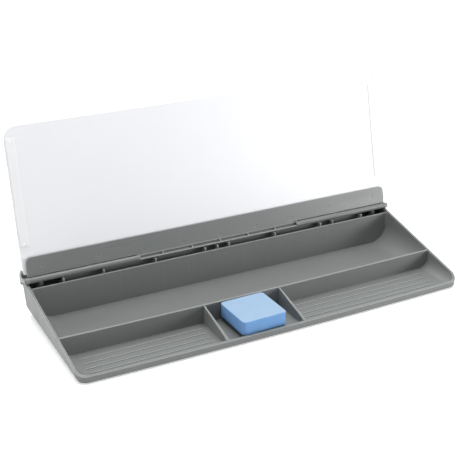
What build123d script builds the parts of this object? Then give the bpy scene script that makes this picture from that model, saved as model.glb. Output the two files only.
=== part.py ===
from build123d import *
from math import cos, radians, sin, tan
import os

# Desk whiteboard that closes over an organiser tray.
#
# Millimetres, +X right, +Y to the back, +Z up. The origin is on the desk, under
# the middle of the open object. The hinge runs along X, and the board is drawn
# open, leaning back on the stop of the rear rail.

# ---- overall ----------------------------------------------------------------
board_width = 457.0
board_length = 158.0

# ---- tray moulding ----------------------------------------------------------
side_inset = 4.0             # underside's side from the board's edge, before the draft widens it
base_half_width = board_width / 2 - side_inset
base_front_y = -94.0         # front edge at the corners
front_bow = 3.0              # the front edge bulges this much at its middle
base_rear_y = 66.0           # rear face at the underside
draft = 3.0                  # degrees, sides, front and bay walls
rear_lean = 6.0              # degrees, rear face
wall = 2.5
floor = 1.5                  # under the front bays
rear_floor_step = 1.2        # floor of the rear bay above that of the front bays
foot_height = 0.8            # gap between desk and underside
lip_height = 7.5             # front lip above the underside
rim_height = 41.3            # rims above the underside, under the hinge axis
rim_slope = 12.0             # degrees, rims falling towards the front
rim_drop = 14.0              # stretch at the front in which they fall to the lip
rim_softness = 3.0           # rounding of the bends in the rims
front_corner_radius = 11.5
rear_corner_radius = 2.5
under_edge = 2.4             # rounding round the whole underside
under_radius_rear = 14.0     # larger rounding under the sides, at the back
under_radius_front = 7.0
scoop_rear = 23.0            # rounding between floor and sides, in the rear bay
scoop_front = 12.0           # and in the front bays
rear_bay_corner = 2.0        # upright corners at the back of the rear bay
divider = 1.3                # partitions, at the top
partition_drop = 0.8         # short partitions below the long one, where they meet
front_bay_depth = 56.4       # front edge to the long partition's front top edge, at its ends
long_divider_y = base_front_y + front_bay_depth
long_divider_bow = 2.0
bay_divider_xs = (-66.5, 23.2)
channel_depth = 19.0         # rear face to the wall behind the rear bay, at that wall's top
back_wall_y = base_rear_y - channel_depth
back_wall = 1.8
back_wall_drop = 3.4         # of that wall's top below the rims under the hinge axis
back_wall_top = foot_height + rim_height - back_wall_drop
pen_line_steps = (14.0, 23.9, 33.8, 42.6)   # from the long partition
pen_line_width = 1.0
pen_line_height = 0.6
pen_line_ends = (16.5, 22.5)  # from the tray's left and right sides to the lines
pen_line_gap = 9.0           # from a bay partition to the inner end of the lines
stiffener_xs = (-142.4, -82.0, -21.6, -6.3, 8.3, 68.0, 129.8, 146.8)
end_stiffener = 22.7         # from a screw to the outermost stiffener
stiffener_depth = 3.2
stiffener = 1.3
trough_behind = 3.0          # screen under the beads, behind the hinge axis
trough_depth = 9.5           # from the screen's top to the shelf that carries it
trough_wall = 1.5
trough_rib_drop = 2.8        # tops of the trough's ribs below the hinge axis

# ---- hinge ------------------------------------------------------------------
axis_inset = 12.0            # from the tray's rear face
axis_rise = 3.4              # above the rims
axis_y = base_rear_y - axis_inset
axis_z = foot_height + rim_height + axis_rise
lean_back = 12.5             # the open board's lean, degrees from upright
bead_radius = 3.1            # round nose of the rail, on the hinge axis
bead_inner_x = 102.5
bead_end_inset = 1.1         # outer end of the bead from the tray's outside
collar_width = 2.3           # thicker end of the bead
collar_rise = 0.4
knuckle_gap = 0.6            # between knuckle end and bead end
knuckle_wall = 1.2
knuckle_rib = 1.2
knuckle_rib_xs = (-71.0, -35.3, 0.0, 35.3, 71.0)
knuckle_end_wall = 2.5
lip_angle = 197.0            # where the open knuckle's front lip ends, degrees
mouth_angle = 50.0           # where its mouth starts, under the plate
knuckle_swing_gap = 1.4      # free space round the turning knuckle
pin_radius = 1.5
pin_length = 17.5
pin_poke = 0.3               # pin past the knuckle's end wall
running_gap = 0.05           # round the pin in the knuckle
press_overlap = 0.02         # of the pin in the bead

# ---- rear rail --------------------------------------------------------------
rail_half_width = board_width / 2
rail_wall = 2.2
stop_height = 7.9            # top of the stop above the hinge axis
crown = 2.6                  # thickness of the stop's top
bulge = 16.6                 # rearmost bulge of the rail behind the hinge axis
seat_drop = 8.2              # seat of the rail on the tray, below the hinge axis
seat_gap = 0.15
flange = 4.4                 # width of the rail's foot on the tray's rear wall
flange_height = 1.6
tongue = 1.3                 # tabs inside the rear wall
tongue_depth = 3.0
tongue_gap = 0.25
tongue_shortest = 20.0
stop_gap = 0.15              # between the open glass and the stop
glass_swing_gap = 1.1        # under the glass's lower edge
cap_gap = 0.25               # between the tray's side and the rail's end cap
saddle_gap = 0.3             # between the bead's collar and the rims
cap_rise = 1.0               # lower edge of the end caps above the rail's seat
cap_softness = 1.0           # rounding of the nose in front of an end cap
screw_inset = 14.5           # from the tray's side
screw_x = base_half_width - screw_inset
screw_behind_axis = 5.5
post_radius = 3.6
post_length = 9.9            # below the rail's web
screw_radius = 1.5
screw_head_radius = 3.0
screw_head = 2.0
screw_bite = 8.0             # thread inside the post
screw_cross = 3.2            # recess across the head
screw_slot = 0.8
screw_clearance = 0.25
thread_overlap = 0.2
boss_wall = 1.2              # round the screw head's counterbore
boss_shelf = 8.0             # plastic between screw head and post
boss_gap = 0.2

# ---- board layers and hinge plate -------------------------------------------
glass = 4.0
film = 0.2
steel = 0.3
face_behind_axis = 3.7       # steel face to hinge axis
board_start = 4.6            # board's lower edge above the axis, along the board
far_corner_radius = 15.5
near_corner_radius = 5.0
edge_rounding = 0.8
film_inset = 1.2
steel_inset = 1.5
plate = 1.8
plate_end_inset = 4.0        # from the board's side, before the shift
plate_shift = 1.2            # of the plate to the right; its knuckle stays in the middle
plate_width = board_width - 2 * plate_end_inset
plate_height = 20.4
plate_start = 3.7
plate_corner_radius = 6.0
tape = 0.4
tape_inset = 3.0
mark_radius = 2.6
mark_depth = 0.2
end_mark_inset = 17.5
end_mark_x = plate_width / 2 - end_mark_inset
marks = ((-end_mark_x, 13.7), (-145.5, 12.7), (-93.0, 6.9), (-46.5, 6.9), (0.0, 6.9),
         (46.5, 6.9), (93.0, 6.9), (145.5, 12.7), (end_mark_x, 13.7))
strip_width = 10.0
strip_edge_inset = 2.2
strip_start = 36.0
strip_end = 149.5
strip = 0.8

# ---- feet and eraser --------------------------------------------------------
foot_radius = 6.0
foot_recess = 0.6
foot_gap = 0.1
foot_inset_side = 30.5
foot_inset_front = 13.0
foot_inset_rear = 8.5
eraser_clearance = 5.1       # of front_bay_depth, shared by the lip's wall and the eraser's play
eraser_side = front_bay_depth - eraser_clearance
eraser_height = 20.3
eraser_corner_radius = 4.0
eraser_edge = 0.4
eraser_off_middle = (-1.75, -0.95)   # from the middle of its bay, along X and Y
eraser_turn = 1.2
felt = 4.9
felt_inset = 1.0
magnet_radius = 9.0
magnet = 1.5
magnet_gap = 0.2

# ---- worked out from the above ----------------------------------------------
skin = 0.02                  # keeps nearly flush cutting faces apart
eraser_x = sum(bay_divider_xs) / 2 + eraser_off_middle[0]
eraser_y = (base_front_y + long_divider_y) / 2 + eraser_off_middle[1]
floor_z = foot_height + floor
rear_floor_z = floor_z + rear_floor_step
lip_z = foot_height + lip_height
seat_z = axis_z - seat_drop
seat_y = base_rear_y + (seat_z - foot_height) * tan(radians(rear_lean))
spread = tan(radians(draft))
glass_inner = face_behind_axis + steel + film
glass_outer = glass_inner + glass
board = Plane((0, axis_y, axis_z), x_dir=(1, 0, 0),
              z_dir=(0, -cos(radians(lean_back)), sin(radians(lean_back))))
axis_section = Plane((0, axis_y, axis_z), x_dir=(0, 1, 0), z_dir=(1, 0, 0))
knuckle_end_x = bead_inner_x - knuckle_gap
swing_radius = bead_radius + knuckle_swing_gap
bead_outer_x = base_half_width + (axis_z - foot_height) * spread - bead_end_inset
all_stiffener_xs = (end_stiffener - screw_x, *stiffener_xs, screw_x - end_stiffener)
web_top = (board_start * cos(radians(lean_back)) - glass_outer * sin(radians(lean_back))
           - glass_swing_gap)
web_bottom = web_top - rail_wall
post_bottom_z = axis_z + web_bottom - post_length
boss_top_z = post_bottom_z - boss_gap
shelf_z = boss_top_z - boss_shelf


# ---- helpers ----------------------------------------------------------------
def rim_z(y):
    """Height of the side rims, which fall towards the front."""
    return foot_height + rim_height + (y - axis_y) * tan(radians(rim_slope))


def wall_x(z):
    """Half width of the tray's outside at height z."""
    return base_half_width + (z - foot_height) * spread


def inside_x(z):
    """Half width of the tray's inside at height z."""
    return wall_x(z) - wall


def bowed_plan(half_width, front_y, bow, back_y):
    """Plan outline with a straight back and sides and a front that bulges by bow."""
    with BuildSketch() as plan:
        with BuildLine():
            Polyline((half_width, front_y), (half_width, back_y),
                     (-half_width, back_y), (-half_width, front_y))
            ThreePointArc((-half_width, front_y), (0, front_y - bow), (half_width, front_y))
        make_face()
    return plan.sketch


def front_corners(sketch, radius):
    """Round the two corners nearest the front."""
    return fillet(sketch.vertices().sort_by(Axis.Y)[:2], radius)


def along_x(points, half_length, plane=Plane.YZ):
    """Prism from a (y, z) outline, running to half_length on both sides."""
    return extrude(plane * Polygon(*points, align=None), half_length, both=True)


def slab(points, low_x, high_x, plane=Plane.YZ):
    """Prism from a (y, z) outline between two places along X."""
    return extrude(plane.offset(low_x) * Polygon(*points, align=None), high_x - low_x, dir=(1, 0, 0))


def rounded_section(half_width, low, high, radius):
    """Drafted x-z section between two heights, with its lower corners rounded."""
    wide = half_width + (high - low) * spread
    outline = Polygon((-half_width, low), (half_width, low), (wide, high), (-wide, high), align=None)
    return fillet(outline.vertices().sort_by(Axis.Y)[:2], radius)


def band(section, front, back):
    """Ruled solid along Y through section(y) at its two ends."""
    ends = [Plane((0, y, 0), x_dir=(1, 0, 0), z_dir=(0, -1, 0)) * section(y) for y in (front, back)]
    return loft(ends, ruled=True)


def between(front_value, back_value, y):
    """Value that changes evenly from the tray's front to its back."""
    share = (y - base_front_y) / (base_rear_y - base_front_y)
    return front_value + (back_value - front_value) * share


def tube_x(radius, low_x, high_x, y=0.0, z=0.0, plane=axis_section):
    """Round bar along X, y and z from the hinge axis."""
    return extrude(plane.offset(low_x) * Pos(y, z) * Circle(radius), high_x - low_x)


def post(x, y, radius, low, high):
    """Upright round bar."""
    return Pos(x, y, low) * extrude(Circle(radius), high - low)


# ---- tray -------------------------------------------------------------------
def tray_outside():
    """The solid wedge: bowed drafted plan, leaning rear face, rounded underside."""
    tall = rim_z(seat_y) + wall - foot_height
    plan = front_corners(bowed_plan(base_half_width, base_front_y, front_bow, base_rear_y + tall),
                         front_corner_radius)
    body = extrude(Plane.XY.offset(foot_height) * plan, tall, taper=-draft)
    rear_face = Plane((0, base_rear_y, foot_height), x_dir=(1, 0, 0),
                      z_dir=(0, -cos(radians(rear_lean)), sin(radians(rear_lean))))
    body = split(body, bisect_by=rear_face, keep=Keep.TOP)
    corners = [e for e in body.edges() if e.center().Y > base_rear_y
               and abs(e.center().X) > base_half_width and e.length > tall / 2]
    body = fillet(corners, rear_corner_radius)
    body = fillet(body.faces().sort_by(Axis.Z)[0].edges(), under_edge)

    def section(y):
        radius = between(under_radius_front, under_radius_rear, y)
        return rounded_section(base_half_width + skin, foot_height - skin, axis_z, radius)
    return body & band(section, base_front_y - 2 * front_bow, base_rear_y + tall)


def above_rims():
    """Space over the rims, down to the lip in front and to the rail's seat behind."""
    front = base_front_y - 3 * front_bow
    rear = seat_y + 3 * wall
    top = axis_z + bulge
    drop_y = base_front_y + rim_drop
    tip_y = axis_y + bead_radius
    knees = ((base_front_y + wall, lip_z), (drop_y, rim_z(drop_y)), (tip_y, rim_z(tip_y)))
    outline = Polygon((front, lip_z), *knees, (seat_y - 2 * wall, seat_z), (rear, seat_z),
                      (rear, top), (front, top), align=None)
    soft = [v for v in outline.vertices() if any(abs(v.X - y) < skin for y, _ in knees)]
    outline = fillet(soft, rim_softness)
    return extrude(Plane.YZ * outline, 2 * base_half_width, both=True)


def inner_width(radius, low):
    """Space between the tray's sides, which meet the floor at height low in this radius."""
    section = rounded_section(inside_x(low), low, axis_z + wall, radius)
    return extrude(Plane.XZ * section, 2 * base_half_width, both=True)


def bay(plan, low):
    """One open pocket: a plan outline on the floor at height low, widening upwards."""
    return extrude(Plane.XY.offset(low) * plan, axis_z - low, taper=-draft)


def divider_foot(z, low=floor_z):
    """How far a bay wall spreads from its top at height z to the floor at height low."""
    return (z - low) * spread


def rear_bay():
    """The long bay between the long partition and the back wall."""
    front = long_divider_y + divider + divider_foot(rim_z(long_divider_y), rear_floor_z)
    back = back_wall_y - divider_foot(back_wall_top, rear_floor_z)
    plan = bowed_plan(inside_x(rear_floor_z) + skin, front, long_divider_bow, back)
    return bay(fillet(plan.vertices().sort_by(Axis.Y)[-2:], rear_bay_corner), rear_floor_z)


def front_bays():
    """The three bays behind the front lip, split by two short partitions."""
    lip_inside = base_front_y + wall + divider_foot(lip_z)
    region = front_corners(bowed_plan(inside_x(floor_z) + skin, lip_inside, front_bow, base_rear_y),
                           front_corner_radius - wall)
    partition = long_divider_y - divider_foot(rim_z(long_divider_y))
    region -= bowed_plan(base_half_width + wall, partition, long_divider_bow, 2 * base_rear_y)
    half = divider / 2 + divider_foot(rim_z(long_divider_y))
    edges = [-2 * base_half_width]
    for x in bay_divider_xs:
        edges += [x - half, x + half]
    edges.append(2 * base_half_width)
    bays = []
    for left, right in zip(edges[::2], edges[1::2]):
        gap = Pos((left + right) / 2, long_divider_y) * Rectangle(right - left, 4 * base_rear_y)
        bays.append(bay(region & gap, floor_z))
    return bays


def channel():
    """Hollow under the rear rail, between the back wall and the rear wall."""
    top = axis_z + wall
    lean = tan(radians(rear_lean))
    foot_y = back_wall_y + back_wall + divider_foot(back_wall_top)
    outline = ((foot_y, floor_z), (foot_y - (top - floor_z) * spread, top),
               (base_rear_y - wall + (top - foot_height) * lean, top),
               (base_rear_y - wall + floor * lean, floor_z))
    return along_x(outline, 2 * base_half_width) & inner_width(under_radius_rear, floor_z)


def over_back_wall():
    """The back wall stops lower than the rims beside it."""
    front = back_wall_y - rear_bay_corner - wall
    outline = ((front, back_wall_top), (seat_y - 2 * wall, back_wall_top),
               (seat_y - 2 * wall, axis_z), (front, axis_z))
    return along_x(outline, inside_x(back_wall_top))


def over_partitions():
    """The short partitions fall in a straight line from the long one to the lip."""
    half = divider / 2 + divider_foot(rim_z(long_divider_y))
    cuts = []
    for x in bay_divider_xs:
        bow = 1 - (x / base_half_width) ** 2
        low = base_front_y + wall - front_bow * bow
        high = long_divider_y - long_divider_bow * bow + skin
        outline = ((low, lip_z), (high, rim_z(long_divider_y) - partition_drop),
                   (high, axis_z), (low, axis_z))
        cuts.append(slab(outline, x - half, x + half))
    return cuts


def trough():
    """Shelf, screen and ribs behind the back wall, under the beads and the knuckle."""
    top = axis_z - swing_radius
    shelf = top - trough_depth
    front = back_wall_y + back_wall / 2
    screen = axis_y + trough_behind
    back = screen + trough_wall
    outline = ((front, shelf - trough_wall), (back, shelf - trough_wall), (back, top),
               (screen, top), (screen, shelf), (front, shelf))
    rib_low, rib_top = shelf - trough_wall / 2, axis_z - trough_rib_drop
    rib_back = screen + trough_wall / 2
    rib = ((front, rib_low), (rib_back, rib_low), (rib_back, rib_top), (front, rib_top))
    ribs = [slab(rib, x - stiffener / 2, x + stiffener / 2) for x in all_stiffener_xs]
    swing = tube_x(swing_radius, -base_half_width, base_half_width)
    return [along_x(outline, max(all_stiffener_xs) + stiffener / 2), *[rib - swing for rib in ribs]]


def stiffeners():
    """Upright ribs on the inner face of the rear wall."""
    lean = tan(radians(rear_lean))
    top = seat_z - tongue_depth - tongue_gap
    low_y = base_rear_y - wall + floor * lean
    high_y = base_rear_y - wall + (top - foot_height) * lean
    outline = ((low_y - stiffener_depth, floor_z - floor / 2), (low_y + wall / 2, floor_z - floor / 2),
               (high_y + wall / 2, top), (high_y - stiffener_depth, top))
    return [slab(outline, x - stiffener / 2, x + stiffener / 2) for x in all_stiffener_xs]


def pen_lines():
    """Low raised lines on the floors of the outer front bays."""
    left_end, right_end = pen_line_ends
    spans = ((left_end - base_half_width, bay_divider_xs[0] - pen_line_gap),
             (bay_divider_xs[1] + pen_line_gap, base_half_width - right_end))
    height = pen_line_height + floor / 2
    return [Pos((low + high) / 2, long_divider_y - step, floor_z + pen_line_height - height / 2)
            * Box(high - low, pen_line_width, height)
            for low, high in spans for step in pen_line_steps]


def screw_places():
    """Plan places of the rail's screws, posts and bosses."""
    return [(side * screw_x, axis_y + screw_behind_axis) for side in (-1, 1)]


def foot_places():
    """Plan places of the feet, by name."""
    rows = {"front": base_front_y + foot_inset_front, "rear": base_rear_y - foot_inset_rear}
    sides = {"left": foot_inset_side - base_half_width, "right": base_half_width - foot_inset_side}
    return {f"{row}_{side}": (x, y) for row, y in rows.items() for side, x in sides.items()}


def make_tray():
    """The organiser tray, one moulding."""
    head_room = screw_head_radius + screw_clearance
    tray = tray_outside() - above_rims()
    tray -= rear_bay() & inner_width(scoop_rear, rear_floor_z)
    for pocket in front_bays():
        tray -= pocket & inner_width(scoop_front, floor_z)
    tray -= channel()
    tray -= over_back_wall()
    tray -= over_partitions()
    tray += stiffeners()
    tray += trough()
    tray += pen_lines()
    tray += [post(x, y, head_room + boss_wall, foot_height + floor / 2, boss_top_z)
             for x, y in screw_places()]
    tray -= [post(x, y, head_room, 0, shelf_z) for x, y in screw_places()]
    tray -= [post(x, y, screw_radius + screw_clearance, 0, axis_z) for x, y in screw_places()]
    tray -= [post(x, y, foot_radius + foot_gap, 0, foot_height + foot_recess)
             for x, y in foot_places().values()]
    tray -= tube_x(bead_radius + collar_rise + saddle_gap, -rail_half_width, rail_half_width)
    return tray


# ---- rear rail --------------------------------------------------------------
def stop_y(z):
    """Front face of the stop at height z, both from the hinge axis."""
    lean = radians(lean_back)
    depth = glass_outer + stop_gap
    return (z + depth * sin(lean)) * tan(lean) + depth * cos(lean)


def rail_outline():
    """Stop, back and foot of the rail as seen from its end, from the hinge axis."""
    foot = seat_gap - seat_drop
    back = seat_y - axis_y
    hollow_top = stop_height - rail_wall
    hollow_front = stop_y(web_bottom) + rail_wall
    hollow_back = bulge - rail_wall
    crown_back = stop_y(stop_height) + crown
    shoulder = web_top
    outline = Polygon(
        (bead_radius / 2, web_top), (stop_y(web_top), web_top), (stop_y(stop_height), stop_height),
        (crown_back, stop_height), (bulge, shoulder), (bulge, web_bottom), (back, foot),
        (back - flange, foot), (back - flange, foot + flange_height),
        (back - rail_wall, foot + flange_height), (hollow_back, web_bottom),
        (hollow_back, shoulder - rail_wall / 2), (crown_back - rail_wall / 3, hollow_top),
        (stop_y(hollow_top) + rail_wall, hollow_top), (hollow_front, web_bottom),
        (bead_radius / 2, web_bottom), align=None)
    crowns = [v for v in outline.vertices() if abs(v.Y - stop_height) < skin]
    return fillet(crowns, crown / 3)


def cap_outline():
    """End cap: the rail's outline filled in, reaching over the tray's rim."""
    foot = seat_gap - seat_drop + cap_rise
    back = seat_y - axis_y
    crown_back = stop_y(stop_height) + crown
    outline = Polygon(
        (bead_radius / 2, web_top), (stop_y(web_top), web_top), (stop_y(stop_height), stop_height),
        (crown_back, stop_height), (bulge, web_top), (bulge, web_bottom), (back, foot),
        (back / 2, foot + 2 * flange_height), (bead_radius / 2, web_bottom - rail_wall), align=None)
    crowns = [v for v in outline.vertices() if abs(v.Y - stop_height) < skin]
    return fillet(crowns, crown / 3)


def tongues():
    """Tabs that hang inside the rear wall, between the stiffeners."""
    lean = tongue_depth * tan(radians(rear_lean))
    front = seat_y - axis_y - wall - lean - tongue_gap - tongue
    foot = seat_gap - seat_drop
    outline = ((front, foot + flange_height), (front, foot - tongue_depth),
               (front + tongue, foot - tongue_depth), (front + tongue, foot + flange_height))
    clear = stiffener / 2 + 4 * tongue_gap
    edge = screw_x - post_radius - 4 * tongue_gap
    stops = [-edge, *sorted(all_stiffener_xs), edge]
    return [slab(outline, low + clear, high - clear, axis_section)
            for low, high in zip(stops, stops[1:]) if high - low > tongue_shortest]


def make_rail():
    """The rear rail: two beads on the hinge axis, the board's stop and the end caps."""
    rail = extrude(axis_section * rail_outline(), rail_half_width, both=True)
    rail -= tube_x(swing_radius, -bead_inner_x, bead_inner_x)
    cap_inner = wall_x(axis_z) + cap_gap
    for low, high in ((-rail_half_width, -cap_inner), (cap_inner, rail_half_width)):
        rail += extrude(axis_section.offset(low) * cap_outline(), high - low, dir=(1, 0, 0))
    nose = tube_x(bead_radius, -rail_half_width, rail_half_width)
    nose = fillet([nose.faces().sort_by(Axis.X)[i].edges()[0] for i in (0, -1)], cap_softness)
    rail += nose - tube_x(2 * bead_radius, -bead_outer_x, bead_outer_x)
    collar, collar_start = bead_radius + collar_rise, bead_outer_x - collar_width
    rail += [tube_x(bead_radius, -bead_outer_x, -bead_inner_x),
             tube_x(bead_radius, bead_inner_x, bead_outer_x),
             tube_x(collar, -bead_outer_x, -collar_start), tube_x(collar, collar_start, bead_outer_x)]
    rail += tongues()
    rail += [post(x, y, post_radius, post_bottom_z, axis_z + web_bottom + rail_wall / 2)
             for x, y in screw_places()]
    rail -= [post(x, y, screw_radius - thread_overlap, post_bottom_z - skin,
                  post_bottom_z + screw_bite + screw_slot) for x, y in screw_places()]
    bore_end = pin_start() + pin_length
    bore = pin_radius - press_overlap
    rail -= [tube_x(bore, -bore_end, 0), tube_x(bore, 0, bore_end)]
    return rail


def pin_start():
    """Inner end of a hinge pin."""
    return knuckle_end_x - knuckle_end_wall - pin_poke


def make_screws():
    """Two self-tapping screws up through the tray's bosses into the rail's posts."""
    screws = []
    for x, y in screw_places():
        head = post(x, y, screw_head_radius, shelf_z - screw_head, shelf_z)
        cross = [Pos(x, y, shelf_z - screw_head) * Box(a, b, screw_head)
                 for a, b in ((screw_cross, screw_slot), (screw_slot, screw_cross))]
        shank = post(x, y, screw_radius, shelf_z, post_bottom_z + screw_bite)
        screws.append(head + shank - cross)
    return Compound(children=screws)


# ---- board ------------------------------------------------------------------
def board_sheet(inset, front, thickness):
    """Layer of the board; its front face is this far behind the hinge axis."""
    centre_u = board_start + board_length / 2
    outline = Pos(0, centre_u) * Rectangle(board_width - 2 * inset, board_length - 2 * inset)
    corners = outline.vertices().sort_by(Axis.Y)
    outline = fillet(corners[:2], near_corner_radius - inset)
    corners = outline.vertices().sort_by(Axis.Y)
    outline = fillet(corners[-2:], far_corner_radius - inset)
    return extrude(board.offset(-front - thickness) * outline, thickness)


def plate_back():
    """Back face of the hinge plate, measured from the axis along the board's normal."""
    return tape - face_behind_axis


def make_plate():
    """Hinge plate with its open ribbed knuckle and moulding marks."""
    centre_u = plate_start + plate_height / 2
    outline = Pos(plate_shift, centre_u) * Rectangle(plate_width, plate_height)
    outline = fillet(outline.vertices().sort_by(Axis.Y)[-2:], plate_corner_radius)
    body = extrude(board.offset(plate_back()) * outline, plate)
    neck_low = bead_radius - plate
    neck = Pos(0, (neck_low + centre_u) / 2) * Rectangle(2 * knuckle_end_x, centre_u - neck_low)
    body += extrude(board.offset(plate_back()) * neck, plate)
    ring = Circle(bead_radius) - Circle(bead_radius - knuckle_wall)
    far = 3 * bead_radius
    steps = [mouth_angle + (lip_angle - mouth_angle) * i / 3 for i in range(4)]
    mouth = Polygon((0, 0), *[(far * cos(radians(a)), far * sin(radians(a))) for a in steps], align=None)
    body += extrude(axis_section * (ring - mouth), knuckle_end_x, both=True)
    front = plate_back() + plate
    lean = radians(lean_back)
    edge = (neck_low * sin(lean) - front * cos(lean), neck_low * cos(lean) + front * sin(lean))
    lip = (bead_radius * cos(radians(lip_angle)), bead_radius * sin(radians(lip_angle)))
    rib = Circle(bead_radius) & Polygon(lip, edge, (far, edge[1]), (far, -far), (lip[0], -far), align=None)
    for x in knuckle_rib_xs:
        body += extrude(axis_section.offset(x - knuckle_rib / 2) * rib, knuckle_rib, dir=(1, 0, 0))
    for low in (-knuckle_end_x, knuckle_end_x - knuckle_end_wall):
        body += tube_x(bead_radius, low, low + knuckle_end_wall)
        body -= tube_x(pin_radius + running_gap, low - skin, low + knuckle_end_wall + skin)
    for x, u in marks:
        body -= extrude(board.offset(front - mark_depth) * Pos(x + plate_shift, u)
                        * Circle(mark_radius), plate)
    return body


def make_tape():
    """Adhesive tape between hinge plate and steel sheet."""
    centre_u = plate_start + plate_height / 2
    outline = (Pos(plate_shift, centre_u)
               * Rectangle(plate_width - 2 * tape_inset, plate_height - 2 * tape_inset))
    return extrude(board.offset(-face_behind_axis) * outline, tape)


def make_strip(side):
    """Cushion strip along one side of the board's inner face."""
    x = side * (board_width / 2 - strip_edge_inset - strip_width / 2)
    outline = Pos(x, (strip_start + strip_end) / 2) * Rectangle(strip_width, strip_end - strip_start)
    return extrude(board.offset(-face_behind_axis) * outline, strip)


# ---- eraser -----------------------------------------------------------------
def eraser_slab(low, high, inset=0.0):
    """Square slab with round corners, in the eraser's place in the middle bay."""
    side = eraser_side - 2 * inset
    outline = fillet(Rectangle(side, side).vertices(), eraser_corner_radius - inset)
    place = Pos(eraser_x, eraser_y, floor_z + low) * Rot(0, 0, eraser_turn)
    return place * extrude(outline, high - low)


def make_eraser_block():
    """Foam grip with a shallow pocket for the magnet."""
    block = eraser_slab(felt, eraser_height)
    block = fillet(block.faces().sort_by(Axis.Z)[-1].edges(), eraser_edge)
    pocket = post(eraser_x, eraser_y, magnet_radius + magnet_gap,
                  floor_z, floor_z + felt + magnet + magnet_gap)
    return block - pocket


# ---- assembly ---------------------------------------------------------------
def make_parts():
    """Every piece of the object by name."""
    parts = {
        "tray_body": make_tray(),
        "rear_rail": make_rail(),
        "rail_screws": make_screws(),
        "glass_panel": fillet(board_sheet(0, glass_inner, glass).edges(), edge_rounding),
        "white_film": board_sheet(film_inset, face_behind_axis + steel, film),
        "steel_sheet": board_sheet(steel_inset, face_behind_axis, steel),
        "hinge_plate": make_plate(),
        "plate_tape": make_tape(),
        "cushion_strip_left": make_strip(-1),
        "cushion_strip_right": make_strip(1),
        "hinge_pin_left": tube_x(pin_radius, -pin_start() - pin_length, -pin_start()),
        "hinge_pin_right": tube_x(pin_radius, pin_start(), pin_start() + pin_length),
        "eraser_block": make_eraser_block(),
        "eraser_felt": eraser_slab(0, felt, felt_inset),
        "eraser_magnet": post(eraser_x, eraser_y, magnet_radius, floor_z + felt, floor_z + felt + magnet),
    }
    for place, (x, y) in foot_places().items():
        parts[f"rubber_foot_{place}"] = post(x, y, foot_radius, 0, foot_height + foot_recess)
    return parts


os.makedirs("parts", exist_ok=True)
for name, shape in make_parts().items():
    export_step(shape, f"parts/{name}.step")
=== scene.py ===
from math import cos, radians, sin, tau

import bpy
import numpy as np
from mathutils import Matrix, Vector


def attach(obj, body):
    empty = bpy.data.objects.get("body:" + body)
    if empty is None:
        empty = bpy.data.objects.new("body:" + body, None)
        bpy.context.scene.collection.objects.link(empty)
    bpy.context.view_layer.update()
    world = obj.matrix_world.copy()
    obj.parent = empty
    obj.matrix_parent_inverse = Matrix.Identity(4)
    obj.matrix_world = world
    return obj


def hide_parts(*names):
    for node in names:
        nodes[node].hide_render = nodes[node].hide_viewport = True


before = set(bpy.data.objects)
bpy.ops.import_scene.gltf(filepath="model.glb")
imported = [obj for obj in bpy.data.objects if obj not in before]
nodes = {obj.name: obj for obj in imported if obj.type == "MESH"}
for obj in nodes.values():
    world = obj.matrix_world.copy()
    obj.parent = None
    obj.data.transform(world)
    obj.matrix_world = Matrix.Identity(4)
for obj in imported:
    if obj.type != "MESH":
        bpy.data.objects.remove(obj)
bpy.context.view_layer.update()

# ---- tray -------------------------------------------------------------------
# One large injection moulding in grey ABS. The mould is spark-eroded, so the
# faces carry a fine even grain; its rims and thin ridges carry a painted highlight.


def node_maker(material):
    """Clear the material's nodes; return a short way to add one with its sockets set.

    A keyword names a property or a socket (underscores for spaces), _0 is the
    first socket, and a value that is itself a socket is linked in.
    """
    material.use_nodes = True
    tree = material.node_tree
    tree.nodes.clear()

    def add(kind, **sockets):
        node = tree.nodes.new("ShaderNode" + kind)
        for name, value in sockets.items():
            if name in node.bl_rna.properties:
                setattr(node, name, value)
                continue
            socket = node.inputs[int(name[1:]) if name[0] == "_" else name.replace("_", " ")]
            if isinstance(value, bpy.types.NodeSocket):
                tree.links.new(value, socket)
            else:
                socket.default_value = value
        return node
    return add


def shade(colour, factor):
    """The colour made lighter or darker, with its alpha."""
    return (*[min(1.0, c * factor) for c in colour], 1.0)


def with_joint_lines(add, place, highlight_and_seams, seams):
    """Add the mould's joint lines, at seams' places along X, to the painted edge highlight.

    The lines are faint and broken, and show only towards the back.
    """
    half_width = 0.0003
    apart = add("SeparateXYZ", Vector=place)
    patchy = add("TexNoise", Vector=place, Scale=140.0)
    behind = add("MapRange", Value=apart.outputs["Y"], From_Min=0.012, From_Max=0.036)
    broken = add("MapRange", Value=patchy.outputs[0], From_Min=0.35, From_Max=0.6,
                 To_Min=0.02, To_Max=0.16)
    faint = add("Math", operation="MULTIPLY", _0=behind.outputs[0], _1=broken.outputs[0])
    for seam in seams:
        line = add("Math", operation="COMPARE", _0=apart.outputs["X"], _1=seam, _2=half_width)
        shown = add("Math", operation="MULTIPLY", _0=line.outputs[0], _1=faint.outputs[0])
        highlight_and_seams = add("Math", operation="ADD", _0=highlight_and_seams.outputs[0], _1=shown.outputs[0])
    return highlight_and_seams


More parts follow.
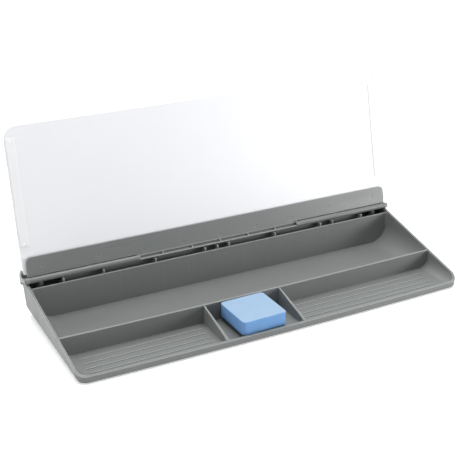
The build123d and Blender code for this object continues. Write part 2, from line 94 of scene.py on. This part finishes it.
def moulded_plastic(name, colour, roughness, depth=0.00004, waves=0.25, seams=()):
    """Spark-eroded plastic: fine grain, cloudy shade, mottled gloss, and a painted highlight that makes
    thin ridges paler.

    depth is the grain's height, waves the strength of the coarser unevenness and
    seams the places along X of joint lines, if the mould left any.
    """
    material = bpy.data.materials.new(name)
    add = node_maker(material)
    place = add("TexCoord").outputs["Object"]
    clouds = add("TexNoise", Vector=place, Scale=11.0, Detail=5.0, Roughness=0.6)
    flow = add("TexNoise", Vector=add("Mapping", Vector=place, Scale=(0.25, 1.0, 1.0)).outputs[0],
               Scale=60.0, Detail=3.0)
    grain, coarser = 0.00035, 0.22
    fine = add("TexNoise", Vector=place, Scale=1 / grain, Detail=2.5, Roughness=0.65)
    coarse = add("TexNoise", Vector=place, Scale=coarser / grain, Detail=2.0)
    tint = add("Mix", data_type="RGBA", Factor=clouds.outputs[0], _6=shade(colour, 0.93),
               _7=shade(colour, 1.07))
    speck = add("MapRange", Value=fine.outputs[0], From_Min=0.3, From_Max=0.7,
                To_Min=0.94, To_Max=1.06)
    toned = add("VectorMath", operation="SCALE", Vector=tint.outputs[2], Scale=speck.outputs[0])
    soft = add("Bevel", samples=6, Radius=0.0005)
    # Painted highlight: thin convex ridges, found by occlusion from inside, are mixed towards a far
    # lighter grey, as if light caught them.
    thin = add("AmbientOcclusion", samples=6, inside=True, only_local=True, Distance=0.0008)
    highlight_and_seams = add("MapRange", Value=thin.outputs["AO"], From_Min=0.9, From_Max=0.5,
                To_Min=0.0, To_Max=0.8)
    if seams:
        highlight_and_seams = with_joint_lines(add, place, highlight_and_seams, seams)
    # The tone with the painted highlight and any joint lines.
    tone_with_highlight_and_seams = add("Mix", data_type="RGBA", Factor=highlight_and_seams.outputs[0], _6=toned.outputs[0],
               _7=shade(colour, 2.8))
    gloss = add("MapRange", Value=flow.outputs[0], From_Min=0.3, From_Max=0.7,
                To_Min=roughness - 0.05, To_Max=roughness + 0.06)
    low = add("Bump", Strength=waves, Distance=2.5 * depth, Height=coarse.outputs[0],
              Normal=soft.outputs[0])
    relief = add("Bump", Strength=0.8, Distance=depth, Height=fine.outputs[0], Normal=low.outputs[0])
    shader = add("BsdfPrincipled", Base_Color=tone_with_highlight_and_seams.outputs[2], Roughness=gloss.outputs[0],
                 Normal=relief.outputs[0], IOR=1.53, Specular_IOR_Level=0.4)
    add("OutputMaterial", Surface=shader.outputs[0])
    return material


def finish_node(node, material):
    """Give a CAD node its material."""
    slots = nodes[node].data.materials
    slots.clear()
    slots.append(material)


abs_grey = (0.165, 0.172, 0.168)
mould_seams = (-0.1247, -0.0735, -0.0435, 0.0272, 0.0576, 0.1387)
finish_node("tray_body", moulded_plastic("tray plastic", abs_grey, roughness=0.42,
                                         seams=mould_seams))

# ---- rear rail and hinge plate ----------------------------------------------
# Two more grey mouldings: the rail that carries the beads and the board's stop,
# and the plate with the open knuckle. Both come from smoother tools.
smooth_grain, smooth_waves = 0.00002, 0.04
finish_node("rear_rail", moulded_plastic("rail plastic", (0.170, 0.177, 0.173), roughness=0.30,
                                         depth=smooth_grain, waves=smooth_waves))
finish_node("hinge_plate", moulded_plastic("plate plastic", (0.165, 0.172, 0.169), roughness=0.32,
                                           depth=smooth_grain, waves=smooth_waves))


# ---- screws and hinge pins --------------------------------------------------
# Two zinc-plated self-tapping screws hold the rail from below, and two short
# ground steel pins carry the knuckle.


def metal(name, colour, roughness, scratch):
    """Bare or plated metal: fine level scratches, closer for a larger scratch, and dull patches."""
    material = bpy.data.materials.new(name)
    add = node_maker(material)
    place = add("TexCoord").outputs["Object"]
    patches = add("TexNoise", Vector=place, Scale=420.0, Detail=4.0)
    lines = add("TexNoise", Vector=add("Mapping", Vector=place, Scale=(1.0, 1.0, 14.0)).outputs[0],
                Scale=scratch, Detail=2.0)
    tint = add("Mix", data_type="RGBA", Factor=patches.outputs[0], _6=shade(colour, 0.85),
               _7=shade(colour, 1.0))
    gloss = add("MapRange", Value=patches.outputs[0], To_Min=roughness - 0.06, To_Max=roughness + 0.1)
    relief = add("Bump", Strength=0.4, Distance=0.00002, Height=lines.outputs[0],
                 Normal=add("Bevel", samples=4, Radius=0.0002).outputs[0])
    shader = add("BsdfPrincipled", Base_Color=tint.outputs[2], Metallic=1.0,
                 Roughness=gloss.outputs[0], Normal=relief.outputs[0])
    add("OutputMaterial", Surface=shader.outputs[0])
    return material


finish_node("rail_screws", metal("zinc plate", (0.62, 0.63, 0.66), roughness=0.34, scratch=2600.0))
ground_steel = metal("ground steel", (0.55, 0.56, 0.58), roughness=0.26, scratch=5200.0)
finish_node("hinge_pin_left", ground_steel)
finish_node("hinge_pin_right", ground_steel)


# ---- glass ------------------------------------------------------------------
# A sheet of clear toughened glass with rounded corners and polished edges.
glass = bpy.data.materials.new("clear glass")
add = node_maker(glass)
place = add("TexCoord").outputs["Object"]
roll = add("TexNoise", Vector=place, Scale=9.0, Detail=1.0)
relief = add("Bump", Strength=0.02, Distance=0.0004, Height=roll.outputs[0])
smear = add("MapRange", Value=add("TexNoise", Vector=place, Scale=45.0, Detail=4.0).outputs[0],
            From_Min=0.35, From_Max=0.75, To_Min=0.01, To_Max=0.022)
shader = add("BsdfPrincipled", Base_Color=(0.93, 0.975, 0.96, 1), Roughness=smear.outputs[0],
             Normal=relief.outputs[0], IOR=1.52, Transmission_Weight=1.0)
add("OutputMaterial", Surface=shader.outputs[0])
finish_node("glass_panel", glass)


# ---- steel sheet, film and tape ---------------------------------------------
# The board's magnetic layer is thin steel with a baked white coating, stuck to
# a white film on the glass; tape holds the hinge plate on it.


def white_coating(name, colour, roughness, peel):
    """Baked or printed white: faint clouding and shallow dimples, peel of them to the metre."""
    material = bpy.data.materials.new(name)
    add = node_maker(material)
    place = add("TexCoord").outputs["Object"]
    clouds = add("TexNoise", Vector=place, Scale=7.0, Detail=4.0)
    tint = add("Mix", data_type="RGBA", Factor=clouds.outputs[0], _6=shade(colour, 0.985),
               _7=shade(colour, 1.01))
    dimples = add("TexNoise", Vector=place, Scale=peel, Detail=1.5)
    gloss = add("MapRange", Value=clouds.outputs[0], To_Min=roughness - 0.04, To_Max=roughness + 0.04)
    relief = add("Bump", Strength=0.3, Distance=0.00003, Height=dimples.outputs[0])
    shader = add("BsdfPrincipled", Base_Color=tint.outputs[2], Roughness=gloss.outputs[0],
                 Normal=relief.outputs[0])
    add("OutputMaterial", Surface=shader.outputs[0])
    return material


finish_node("steel_sheet", white_coating("white baked coating", (0.83, 0.83, 0.845),
                                         roughness=0.34, peel=700.0))
finish_node("white_film", white_coating("white film", (0.86, 0.86, 0.86),
                                        roughness=0.28, peel=1500.0))
finish_node("plate_tape", white_coating("foam tape", (0.62, 0.62, 0.60),
                                        roughness=0.7, peel=1900.0))


# ---- cushion strips ---------------------------------------------------------
# Two thin off-white strips of soft foam rubber, cut with round corners and stuck
# along the board's sides, so that the closed lid lies softly on the rims.


def grid_mesh(name, points):
    """Mesh through a grid of points (rows, columns, 3), each row a closed ring.

    The first and last rings are closed with one centre point each, the ring's mean.
    """
    rows, columns = points.shape[:2]
    ends = points[[0, -1]].mean(axis=1)
    vertices = np.concatenate([points.reshape(-1, 3), ends])
    index = np.arange(rows * columns).reshape(rows, columns)
    beside = np.roll(index, -1, axis=1)
    quads = np.stack([index[:-1], beside[:-1], beside[1:], index[1:]], axis=-1).reshape(-1, 4)
    low_cap = np.stack([beside[0], index[0], np.full(columns, rows * columns)], axis=-1)
    high_cap = np.stack([index[-1], beside[-1], np.full(columns, rows * columns + 1)], axis=-1)
    mesh = bpy.data.meshes.new(name)
    mesh.from_pydata(vertices.tolist(), [], quads.tolist() + low_cap.tolist() + high_cap.tolist())
    mesh.polygons.foreach_set("use_smooth", np.ones(len(mesh.polygons), dtype=bool))
    mesh.update()
    return mesh


def new_piece(name, mesh, material, body, slot, *replaced):
    """Put a finished mesh into the scene as a piece of one body."""
    mesh.materials.append(material)
    piece = bpy.data.objects.new(name, mesh)
    bpy.context.scene.collection.objects.link(piece)
    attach(piece, body)
    if replaced:
        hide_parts(*replaced)
    return piece


def rounded_rectangle(half_x, half_y, radius, per_corner=9, per_side=6):
    """Outline points counter-clockwise: four quarter circles joined by even straights."""
    turn = np.linspace(0, tau / 4, per_corner)
    spots = []
    for quarter, (sx, sy) in enumerate(((1, 1), (-1, 1), (-1, -1), (1, -1))):
        angle = turn + quarter * tau / 4
        spots.append(np.stack([sx * (half_x - radius) + radius * np.cos(angle),
                               sy * (half_y - radius) + radius * np.sin(angle)], axis=-1))
    outline = []
    for here, there in zip(spots, spots[1:] + spots[:1]):
        share = np.linspace(0, 1, per_side + 2)[1:-1, None]
        outline += [here, here[-1] + (there[0] - here[-1]) * share]
    return np.concatenate(outline)


def pad_rows(half_x, half_y, corner, rows):
    """Rings of a pad: each row gives (inset, height), the outline shrunk by inset at height."""
    least_corner = 0.0002
    rings = []
    for inset, height in rows:
        ring = rounded_rectangle(half_x - inset, half_y - inset, max(corner - inset, least_corner))
        rings.append(np.column_stack([ring, np.full(len(ring), height)]))
    return np.array(rings)


def soft_rubber(name, colour, roughness, pores, depth):
    """Rubber with fine pores of the given size and depth, a cloudy shade and a dull face."""
    material = bpy.data.materials.new(name)
    add = node_maker(material)
    place = add("TexCoord").outputs["Object"]
    clouds = add("TexNoise", Vector=place, Scale=30.0, Detail=4.0)
    tint = add("Mix", data_type="RGBA", Factor=clouds.outputs[0], _6=shade(colour, 0.95),
               _7=shade(colour, 1.04))
    cells = add("TexVoronoi", Vector=place, Scale=1 / pores)
    fine = add("TexNoise", Vector=place, Scale=2.3 / pores, Detail=2.0)
    height = add("Math", operation="ADD", _0=cells.outputs["Distance"], _1=fine.outputs[0])
    relief = add("Bump", Strength=0.6, Distance=depth, Height=height.outputs[0])
    gloss = add("MapRange", Value=clouds.outputs[0], To_Min=roughness - 0.05, To_Max=roughness + 0.08)
    shader = add("BsdfPrincipled", Base_Color=tint.outputs[2], Roughness=gloss.outputs[0],
                 Normal=relief.outputs[0], IOR=1.5)
    add("OutputMaterial", Surface=shader.outputs[0])
    return material


hinge_y, hinge_z = 0.054, 0.0455
lean = radians(12.5)           # of the open board, from upright
strip_face = 0.0037            # the face they are stuck to, behind the hinge line
strip_thick, strip_corner = 0.0008, 0.0012
strip_half = (0.005, 0.05675)  # half width and half length
strip_middle = (0.2213, 0.09275)   # across from the board's middle, along from the hinge line
strip_material = soft_rubber("strip foam rubber", (0.83, 0.83, 0.84), roughness=0.62,
                             pores=0.0004, depth=0.00003)


def onto_board(points):
    """Place (across, along, off the face) points on the leaning board's inner face."""
    across, along, off = np.moveaxis(points, -1, 0)
    back = strip_face - off
    return np.stack([across, hinge_y + back * cos(lean) + along * sin(lean),
                     hinge_z - back * sin(lean) + along * cos(lean)], axis=-1)


strip_rows = ((0.0001, 0.0), (0.0, 0.0002), (0.0, strip_thick - 0.0003),
              (0.0001, strip_thick - 0.0001), (0.0003, strip_thick), (0.002, strip_thick),
              (0.0048, strip_thick))
for word, side in (("left", -1), ("right", 1)):
    middle = (side * strip_middle[0], strip_middle[1], 0)
    rings = pad_rows(*strip_half, strip_corner, strip_rows) + middle
    new_piece(f"cushion_pad_{word}", grid_mesh(f"cushion_pad_{word}", onto_board(rings)),
              strip_material, "board", "strip_rubber", f"cushion_strip_{word}")


# ---- eraser -----------------------------------------------------------------
# A square block of light blue closed-cell foam, die-cut with a slight waist; its
# upward faces are painted a paler, greyer blue as sheen. A ferrite disc sits in a
# pocket under it, over the glued black wool felt.
eraser_middle = (-0.0234, -0.06675)
eraser_turn = radians(1.2)
eraser_half, eraser_corner = 0.02565, 0.004
felt_low, felt_high, foam_high = 0.0023, 0.0072, 0.0226
foam_rows = ((0.0090, felt_high), (0.0010, felt_high), (0.0002, felt_high + 0.0001),
             (0.0, felt_high + 0.0004), (0.00012, felt_high + 0.0025),
             (0.00026, felt_high + 0.0050), (0.00030, felt_high + 0.0072),
             (0.00026, felt_high + 0.0095), (0.00012, felt_high + 0.0122),
             (0.00004, foam_high - 0.0010), (0.00008, foam_high - 0.0006),
             (0.00030, foam_high - 0.00032), (0.0008, foam_high - 0.00016),
             (0.0020, foam_high - 0.00008), (0.0060, foam_high - 0.00002),
             (0.0150, foam_high), (0.0250, foam_high))
felt_rows = ((0.0240, felt_low), (0.0020, felt_low), (0.0013, felt_low + 0.0002),
             (0.0010, felt_low + 0.0006), (0.0010, felt_high - 0.0004),
             (0.0012, felt_high), (0.0240, felt_high))


def in_the_bay(rings):
    """Turn the eraser a little and move it to its place in the middle bay."""
    x, y, z = np.moveaxis(rings, -1, 0)
    c, s = cos(eraser_turn), sin(eraser_turn)
    return np.stack([eraser_middle[0] + c * x - s * y, eraser_middle[1] + s * x + c * y, z], axis=-1)


def eraser_foam(painted_top_sheen, cut):
    """Closed-cell foam with open cells; upward faces painted a paler, greyer blue as sheen and a little
    smoother, the sides the deeper foam colour.
    """
    material = bpy.data.materials.new("eraser foam")
    add = node_maker(material)
    place = add("TexCoord").outputs["Object"]
    normal = add("NewGeometry").outputs["Normal"]
    up = add("SeparateXYZ", Vector=normal).outputs["Z"]
    # Painted sheen: faces that point up take the paler, greyer top colour, standing in for light from
    # above.
    top_sheen_mask = add("MapRange", Value=up, From_Min=0.35, From_Max=0.85)
    clouds = add("TexNoise", Vector=place, Scale=55.0, Detail=4.0)
    cells = add("TexVoronoi", Vector=place, Scale=1700.0)
    fine = add("TexNoise", Vector=place, Scale=3800.0, Detail=2.0)
    base = add("Mix", data_type="RGBA", Factor=top_sheen_mask.outputs[0], _6=(*cut, 1.0), _7=(*painted_top_sheen, 1.0))
    toning = add("MapRange", Value=clouds.outputs[0], From_Min=0.3, From_Max=0.7,
                 To_Min=0.96, To_Max=1.04)
    tint = add("VectorMath", operation="SCALE", Vector=base.outputs[2], Scale=toning.outputs[0])
    pores = add("MapRange", Value=cells.outputs["Distance"], From_Min=0.0, From_Max=0.55,
                To_Min=0.9, To_Max=1.03)
    pored = add("VectorMath", operation="SCALE", Vector=tint.outputs[0], Scale=pores.outputs[0])
    relief = add("Bump", Strength=0.7, Distance=0.00006, Height=cells.outputs["Distance"],
                 Normal=add("Bump", Strength=0.5, Distance=0.00003, Height=fine.outputs[0]).outputs[0])
    gloss = add("MapRange", Value=top_sheen_mask.outputs[0], To_Min=0.75, To_Max=0.58)
    shader = add("BsdfPrincipled", Base_Color=pored.outputs[0], Roughness=gloss.outputs[0],
                 Normal=relief.outputs[0], IOR=1.45, Subsurface_Weight=0.08,
                 Subsurface_Radius=(0.4, 0.7, 1.0), Subsurface_Scale=0.002)
    add("OutputMaterial", Surface=shader.outputs[0])
    return material


def wool_felt(name, colour):
    """Felt: tangled short fibres as two stretched noises, with a soft sheen."""
    material = bpy.data.materials.new(name)
    add = node_maker(material)
    place = add("TexCoord").outputs["Object"]
    along = add("TexNoise", Vector=add("Mapping", Vector=place, Scale=(1, 6, 4)).outputs[0],
                Scale=900.0, Detail=4.0)
    across = add("TexNoise", Vector=add("Mapping", Vector=place, Scale=(6, 1, 4)).outputs[0],
                 Scale=900.0, Detail=4.0)
    fibres = add("Math", operation="ADD", _0=along.outputs[0], _1=across.outputs[0])
    tint = add("Mix", data_type="RGBA", Factor=along.outputs[0], _6=shade(colour, 0.6),
               _7=shade(colour, 1.5))
    relief = add("Bump", Strength=0.9, Distance=0.0002, Height=fibres.outputs[0])
    shader = add("BsdfPrincipled", Base_Color=tint.outputs[2], Roughness=0.95,
                 Normal=relief.outputs[0], Sheen_Weight=0.25, Sheen_Roughness=0.5)
    add("OutputMaterial", Surface=shader.outputs[0])
    return material


foam_rings = in_the_bay(pad_rows(eraser_half, eraser_half, eraser_corner, foam_rows))
foam_block = new_piece("foam_block", grid_mesh("foam_block", foam_rings),
                       eraser_foam(painted_top_sheen=(0.25, 0.365, 0.50), cut=(0.155, 0.325, 0.61)),
                       "eraser", "eraser_foam", "eraser_block")
felt_rings = in_the_bay(pad_rows(eraser_half, eraser_half, eraser_corner, felt_rows))
felt_pad = new_piece("felt_pad", grid_mesh("felt_pad", felt_rings),
                     wool_felt("black felt", (0.018, 0.018, 0.020)),
                     "eraser", "eraser_felt", "eraser_felt")
finish_node("eraser_magnet", metal("ferrite", (0.10, 0.10, 0.11), roughness=0.6, scratch=900.0))


# ---- feet -------------------------------------------------------------------
# Four black rubber discs in shallow recesses of the underside, with a rounded
# rim and a dished face that grips the desk.
foot_high = 0.0014
foot_x, front_foot_y, rear_foot_y = 0.194, -0.081, 0.0575
foot_places = {"front_left": (-foot_x, front_foot_y), "front_right": (foot_x, front_foot_y),
               "rear_left": (-foot_x, rear_foot_y), "rear_right": (foot_x, rear_foot_y)}
foot_profile = np.array([(0.0008, 0.00035), (0.0030, 0.00030), (0.0042, 0.00005), (0.0048, 0.0),
                         (0.0054, 0.00010), (0.0058, 0.00035), (0.0060, 0.00070), (0.0060, 0.0012),
                         (0.0058, foot_high), (0.0010, foot_high)])
foot_rubber = soft_rubber("black rubber", (0.028, 0.028, 0.028), roughness=0.66,
                          pores=0.0005, depth=0.00003)


def lathe(profile, x, y, steps=48):
    """Surface of revolution about an upright line: radius and height turned round in even steps."""
    angle = np.linspace(0, tau, steps, endpoint=False)
    radius, height = profile[:, :1], profile[:, 1:]
    return np.stack([x + radius * np.cos(angle), y + radius * np.sin(angle),
                     height + 0 * angle], axis=-1)


for place_name, (x, y) in foot_places.items():
    foot = grid_mesh(f"grip_foot_{place_name}", lathe(foot_profile, x, y))
    new_piece(f"grip_foot_{place_name}", foot, foot_rubber, "tray", "foot_rubber",
              f"rubber_foot_{place_name}")


# ---- studio -----------------------------------------------------------------
# A white floor, a room that is brighter overhead and behind, four soft boxes
# and a long lens, about a metre from the left end and well above it.
floor_material = bpy.data.materials.new("studio floor")
add = node_maker(floor_material)
seen = add("LightPath")
shows = add("Math", operation="MAXIMUM", _0=seen.outputs["Is Camera Ray"],
            _1=seen.outputs["Is Glossy Ray"])
shows = add("Math", operation="MAXIMUM", _0=shows.outputs[0], _1=seen.outputs["Is Transmission Ray"])
matt = add("BsdfDiffuse", Color=(0.80, 0.80, 0.80, 1))
glow = add("Emission", Color=(1, 1, 1, 1), Strength=0.42)
both = add("AddShader", _0=matt.outputs[0], _1=glow.outputs[0])
lit = add("MixShader", Fac=shows.outputs[0], _1=matt.outputs[0], _2=both.outputs[0])
add("OutputMaterial", Surface=lit.outputs[0])
floor_mesh = bpy.data.meshes.new("studio_floor")
reach = 12.0
floor_mesh.from_pydata([(-reach, -reach, 0), (reach, -reach, 0), (reach, reach, 0), (-reach, reach, 0)],
                       [], [(0, 1, 2, 3)])
floor_mesh.materials.append(floor_material)
studio_floor = bpy.data.objects.new("studio_floor", floor_mesh)
bpy.context.scene.collection.objects.link(studio_floor)

room = bpy.data.worlds.new("studio room")
add = node_maker(room)
seen = add("LightPath")
shows = add("Math", operation="MAXIMUM", _0=seen.outputs["Is Camera Ray"],
            _1=seen.outputs["Is Transmission Ray"])
toward = add("SeparateXYZ", Vector=add("TexCoord").outputs["Generated"])
overhead = add("MapRange", Value=toward.outputs["Z"], From_Min=0.0, From_Max=0.9,
               To_Min=0.04, To_Max=0.66)
behind = add("MapRange", Value=toward.outputs["Y"], From_Min=0.2, From_Max=0.9,
             To_Min=0.0, To_Max=1.2)
level = add("Math", operation="ADD", _0=overhead.outputs[0], _1=behind.outputs[0])
dim = add("Background", Color=(0.96, 0.98, 1.0, 1), Strength=level.outputs[0])
white = add("Background", Color=(1, 1, 1, 1), Strength=1.0)
mixed = add("MixShader", Fac=shows.outputs[0], _1=dim.outputs[0], _2=white.outputs[0])
add("OutputWorld", Surface=mixed.outputs[0])
bpy.context.scene.world = room


def soft_box(name, place, aim, size, power):
    """Rectangular soft box at place, turned to aim."""
    lamp = bpy.data.lights.new(name, "AREA")
    lamp.shape = "RECTANGLE"
    lamp.size, lamp.size_y = size
    lamp.energy = power
    holder = bpy.data.objects.new(name, lamp)
    holder.location = place
    holder.rotation_euler = (Vector(aim) - Vector(place)).to_track_quat("-Z", "Y").to_euler()
    bpy.context.scene.collection.objects.link(holder)


soft_box("overhead_box", (0.1, 0.15, 1.5), aim=(0, 0, 0.02), size=(1.6, 1.0), power=24)
soft_box("low_right_box", (1.0, -0.88, 0.16), aim=(0.2, 0, 0.1), size=(0.6, 0.3), power=6)
soft_box("near_right_box", (0.85, -0.45, 0.22), aim=(0.2, 0, 0.03), size=(0.35, 0.3), power=2)
soft_box("left_box", (-1.7, -0.1, 0.5), aim=(-0.2, 0, 0.03), size=(1.0, 0.8), power=8)

eye = Vector((-0.48088, -0.90327, 0.52324))
looked_at = Vector((-0.01624, -0.02600, 0.11867))
lens = bpy.data.cameras.new("camera")
lens.sensor_width = 36.0
lens.lens = 81.54
lens.shift_x = -0.0272
lens.shift_y = -0.0482
lens.clip_start, lens.clip_end = 0.05, 60
camera = bpy.data.objects.new("camera", lens)
camera.location = eye
camera.rotation_euler = (looked_at - eye).to_track_quat("-Z", "Y").to_euler()
bpy.context.scene.collection.objects.link(camera)
bpy.context.scene.camera = camera
bpy.context.scene.view_settings.view_transform = "Standard"
